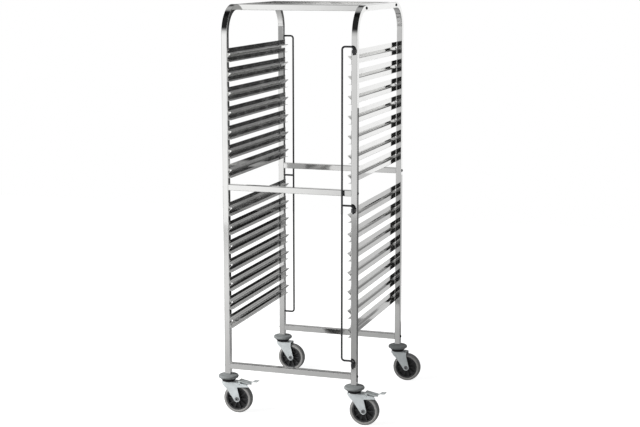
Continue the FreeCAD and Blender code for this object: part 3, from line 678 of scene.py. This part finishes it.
class TROLLEY_OT_casters(bpy.types.Operator):
    """Finishes stems, swivel races, forks, axles, brake pedals and their pins"""
    bl_idname = "trolley.casters"
    bl_label = "Finish casters"

    def execute(self, context):
        finish = context.scene.trolley_finish
        plate = satin_metal("fork_plate", finish.zinc, rough=0.30, metallic=0.5)
        # The axle's darker colour is partly painted shade, for the shaded socket in its head.
        axle = satin_metal("axle_steel_painted_shade", finish.axle, rough=0.30, metallic=0.8)
        pin = satin_metal("pin_steel", finish.zinc, rough=0.26, metallic=0.6)
        # Painted shade: the near-black race stands for the shadow under the bumper.
        race = satin_metal("race_painted_shade", finish.race, rough=0.40, metallic=0.4)
        for place in PLACES:
            dress("caster_stem_" + place, pin)
            dress("swivel_race_" + place, race)
            dress("fork_" + place, plate)
            dress("axle_" + place, axle)
        pedal = satin_metal("pedal_plate", finish.pedal, rough=0.32, metallic=0.5)
        for place in BRAKED_PLACES:
            dress("brake_pedal_" + place, pedal)
            dress("brake_pin_" + place, pin)
        return {"FINISHED"}


def shade_tread(tyre, centre, shoulder, material):
    """Gives the faces outside the shoulder radius the darker rubber, which is painted shade on the tread."""
    tyre.data.materials.append(material)
    for face in tyre.data.polygons:
        across = face.center - centre
        if math.hypot(across.x, across.z) > shoulder:
            face.material_index = 1


class TROLLEY_OT_wheels(bpy.types.Operator):
    """Finishes the wheel hubs and turns the tyres round them"""
    bl_idname = "trolley.wheels"
    bl_label = "Make wheels"

    def execute(self, context):
        finish = context.scene.trolley_finish
        detail = context.scene.trolley_detail
        plastic = moulded_plastic("hub_plastic", finish.hub)
        rubber = moulded_rubber("tyre_rubber", finish.tyre, rough=0.62)
        # Painted shade: the tread rubber is darker than the sides.
        tread_shade = moulded_rubber("tread_painted_shade", finish.tread, rough=0.70)
        axis_turn = Matrix.Rotation(math.radians(90), 4, "X")
        for place in PLACES:
            dress("wheel_hub_" + place, plastic)
            node = "tyre_" + place
            centre, size = box_middle(node)
            rim = box_middle("wheel_hub_" + place)[1].x / 2 + TYRE_FIT
            outline = tyre_outline(rim, size.x / 2, size.y / 2 - detail.tyre_ring, detail)
            piece = turned_piece(
                "rubber_tyre_" + place, outline, axis_turn, centre, detail.segments, rubber)
            # Painted shade: the faces of the tread get the darker rubber.
            shade_tread(piece, centre, size.x / 2 - detail.tread_round, tread_shade)
            hand_over(piece, "wheel_" + place)
            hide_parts(node)
        return {"FINISHED"}


class TROLLEY_OT_studio(bpy.types.Operator):
    """Sets the floor, the cards, the light and the camera"""
    bl_idname = "trolley.studio"
    bl_label = "Set studio"

    def execute(self, context):
        scene = context.scene
        studio = scene.trolley_studio
        scene.view_settings.view_transform = "Standard"
        half = studio.floor_size / 2
        floor = level_sheet("studio_floor", [(-half, -half), (half, -half), (half, half), (-half, half)], 0.0)
        floor.data.materials.append(floor_paint(studio))
        for name, start, end, heights, shade in CARDS:
            mirror_card(upright_sheet(name, start, end, heights), getattr(studio, shade))
        mirror_card(level_sheet("front_card", FRONT_CARD, CARD_LIFT), studio.grey_card)
        scene.world = room_world(studio)
        key_lamp(studio)
        scene.camera = photo_camera(studio)
        return {"FINISHED"}


def mirror_card(card, shade):
    """Card that only shows in polished metal."""
    card.data.materials.append(card_paint(card.name + "_paint", shade))
    for flag in ("visible_camera", "visible_diffuse", "visible_transmission", "visible_shadow"):
        setattr(card, flag, False)


def level_sheet(name, corners, height):
    """Level sheet that faces up."""
    return sheet(name, [(x, y, height) for x, y in corners])


def upright_sheet(name, start, end, heights):
    """Upright sheet over a straight line on the floor."""
    low, high = heights
    return sheet(name, [(*start, low), (*end, low), (*end, high), (*start, high)])


def sheet(name, corners):
    """Single four-cornered face."""
    mesh = bpy.data.meshes.new(name)
    mesh.from_pydata(corners, [], [(0, 1, 2, 3)])
    thing = bpy.data.objects.new(name, mesh)
    bpy.context.scene.collection.objects.link(thing)
    return thing


def floor_paint(studio):
    """Pale floor that the camera sees nearly white, with the shadow left on it."""
    material = bpy.data.materials.new("floor_paint")
    shader = Shader(material)
    shader.nodes.clear()
    paint = shader.add("ShaderNodeBsdfDiffuse")
    paint.inputs["Color"].default_value = (*studio.floor_colour, 1.0)
    path = shader.add("ShaderNodeLightPath")
    glow = shader.add("ShaderNodeEmission")
    strength = shader.math("MULTIPLY", path.outputs["Is Camera Ray"], studio.floor_glow)
    shader.join(strength, glow.inputs["Strength"])
    both = shader.add("ShaderNodeAddShader")
    shader.join(paint.outputs["BSDF"], both.inputs[0])
    shader.join(glow.outputs["Emission"], both.inputs[1])
    output = shader.add("ShaderNodeOutputMaterial")
    shader.join(both.outputs["Shader"], output.inputs["Surface"])
    return material


def card_paint(name, shade):
    """Dull card of one shade, which only its front shows."""
    material = bpy.data.materials.new(name)
    shader = Shader(material)
    shader.nodes.clear()
    glow = shader.add("ShaderNodeEmission")
    glow.inputs["Color"].default_value = (*shade, 1.0)
    clear = shader.add("ShaderNodeBsdfTransparent")
    side = shader.add("ShaderNodeNewGeometry")
    seen = shader.blend(side.outputs["Backfacing"], glow.outputs["Emission"], clear.outputs["BSDF"])
    output = shader.add("ShaderNodeOutputMaterial")
    shader.join(seen, output.inputs["Surface"])
    return material


def toward(shader, direction, heading):
    """How closely a direction points along a level heading, as the cosine of the angle between them."""
    node = shader.add("ShaderNodeVectorMath", operation="DOT_PRODUCT")
    shader.join(direction, node.inputs[0])
    node.inputs[1].default_value = heading
    return node.outputs["Value"]


def room_world(studio):
    """White to the camera, even light to dull surfaces, bright walls and a dark ceiling to polished ones."""
    world = bpy.data.worlds.new("studio_room")
    shader = Shader(world)
    shader.nodes.clear()
    direction = shader.add("ShaderNodeTexCoord").outputs["Generated"]
    flat = shader.add("ShaderNodeVectorMath", operation="MULTIPLY")
    shader.join(direction, flat.inputs[0])
    flat.inputs[1].default_value = (1.0, 1.0, 0.0)
    level = shader.add("ShaderNodeVectorMath", operation="NORMALIZE")
    shader.join(flat.outputs["Vector"], level.inputs[0])
    heading = level.outputs["Vector"]
    parts = shader.add("ShaderNodeSeparateXYZ")
    shader.join(direction, parts.inputs["Vector"])
    height = parts.outputs["Z"]
    rearward = shader.spread(parts.outputs["Y"], *SKYLIGHT_REAR, smooth=True)
    skylight = shader.math("MULTIPLY", rearward, shader.spread(height, *SKYLIGHT_RISE, smooth=True))
    ceiling = shader.math("ADD", skylight, CEILING)
    mirrored = shader.between(shader.spread(height, *WALLS_TO_CEILING, smooth=True), 1.0, ceiling)
    for side, shade in ((FRONT_HEADING, FRONT_SHADE), (LEFT_HEADING, LEFT_SHADE)):
        dimming = shader.spread(toward(shader, heading, side), *shade, smooth=True)
        mirrored = shader.math("MULTIPLY", mirrored, dimming)
    rear_right = shader.spread(toward(shader, heading, REAR_HEADING), *REAR_EDGE, smooth=True)
    mirrored = shader.between(rear_right, mirrored, shader.spread(height, *REAR_DUSK))
    path = shader.add("ShaderNodeLightPath")
    room = shader.add("ShaderNodeBackground")
    room.inputs["Strength"].default_value = studio.room_light
    mirror = shader.add("ShaderNodeBackground")
    shader.join(mirrored, mirror.inputs["Strength"])
    white = shader.add("ShaderNodeBackground")
    for node in (room, mirror, white):
        node.inputs["Color"].default_value = (1.0, 1.0, 1.0, 1.0)
    dull, polished, plain = (node.outputs["Background"] for node in (room, mirror, white))
    lit = shader.blend(path.outputs["Is Glossy Ray"], dull, polished)
    seen = shader.blend(path.outputs["Is Camera Ray"], lit, plain)
    output = shader.add("ShaderNodeOutputWorld")
    shader.join(seen, output.inputs["Surface"])
    return world


def key_lamp(studio):
    """Large soft lamp at the front left, out of sight of the polished metal."""
    light = bpy.data.lights.new("key_lamp", "AREA")
    light.energy = studio.key_power
    light.size = LAMP_SIZE
    lamp = bpy.data.objects.new("key_lamp", light)
    lamp.location = LAMP_PLACE
    aim = Vector(LAMP_AIM) - lamp.location
    lamp.rotation_euler = aim.to_track_quat("-Z", "Y").to_euler()
    lamp.visible_glossy = False
    lamp.visible_camera = False
    bpy.context.scene.collection.objects.link(lamp)


def photo_camera(studio):
    """Camera at the photo's place, with its lens and shift."""
    data = bpy.data.cameras.new("photo_camera")
    data.sensor_fit = "HORIZONTAL"
    data.sensor_width = SENSOR_WIDTH
    data.lens = studio.focal_pixels * SENSOR_WIDTH / PHOTO_WIDTH
    data.shift_y = studio.shift_up
    data.clip_end = CAMERA_REACH
    yaw, pitch, roll = studio.camera_yaw, studio.camera_pitch, studio.camera_roll
    ahead = Vector((math.sin(yaw) * math.cos(pitch), math.cos(yaw) * math.cos(pitch), math.sin(pitch)))
    right = Vector((math.cos(yaw), -math.sin(yaw), 0.0))
    up = right.cross(ahead)
    turned_right = math.cos(roll) * right + math.sin(roll) * up
    turned_up = math.cos(roll) * up - math.sin(roll) * right
    camera = bpy.data.objects.new("photo_camera", data)
    turn = Matrix((turned_right, turned_up, -ahead)).transposed().to_4x4()
    camera.matrix_world = Matrix.Translation(studio.camera_place) @ turn
    bpy.context.scene.collection.objects.link(camera)
    return camera


class TROLLEY_PT_panel(bpy.types.Panel):
    """Colours, sizes and steps of the tray trolley"""
    bl_idname = "TROLLEY_PT_panel"
    bl_label = "Tray trolley"
    bl_space_type = "VIEW_3D"
    bl_region_type = "UI"
    bl_category = "Trolley"

    def draw(self, context):
        for name in GROUPS:
            box = self.layout.box()
            box.label(text=name.replace("_", " ").capitalize())
            settings = getattr(context.scene, name)
            for key in settings.bl_rna.properties.keys():
                if key not in ("rna_type", "name"):
                    box.prop(settings, key)
        for operator in OPERATORS:
            self.layout.operator(operator.bl_idname)


OPERATORS = (
    TROLLEY_OT_frame,
    TROLLEY_OT_fasteners,
    TROLLEY_OT_rails,
    TROLLEY_OT_retainers,
    TROLLEY_OT_bumpers,
    TROLLEY_OT_casters,
    TROLLEY_OT_wheels,
    TROLLEY_OT_studio,
)
GROUPS = {
    "trolley_finish": TrolleyFinish,
    "trolley_detail": TrolleyDetail,
    "trolley_studio": TrolleyStudio,
}


def register():
    """Adds the property groups, operators and the panel."""
    for name, group in GROUPS.items():
        bpy.utils.register_class(group)
        setattr(bpy.types.Scene, name, PointerProperty(type=group))
    for operator in OPERATORS:
        bpy.utils.register_class(operator)
    bpy.utils.register_class(TROLLEY_PT_panel)


def unregister():
    """Takes everything out again."""
    bpy.utils.unregister_class(TROLLEY_PT_panel)
    for operator in reversed(OPERATORS):
        bpy.utils.unregister_class(operator)
    for name, group in GROUPS.items():
        delattr(bpy.types.Scene, name)
        bpy.utils.unregister_class(group)


def main():
    """Dresses the trolley step by step."""
    register()
    bpy.ops.trolley.frame()
    bpy.ops.trolley.fasteners()
    bpy.ops.trolley.rails()
    bpy.ops.trolley.retainers()
    bpy.ops.trolley.bumpers()
    bpy.ops.trolley.casters()
    bpy.ops.trolley.wheels()
    bpy.ops.trolley.studio()


if __name__ == "__main__":
    main()
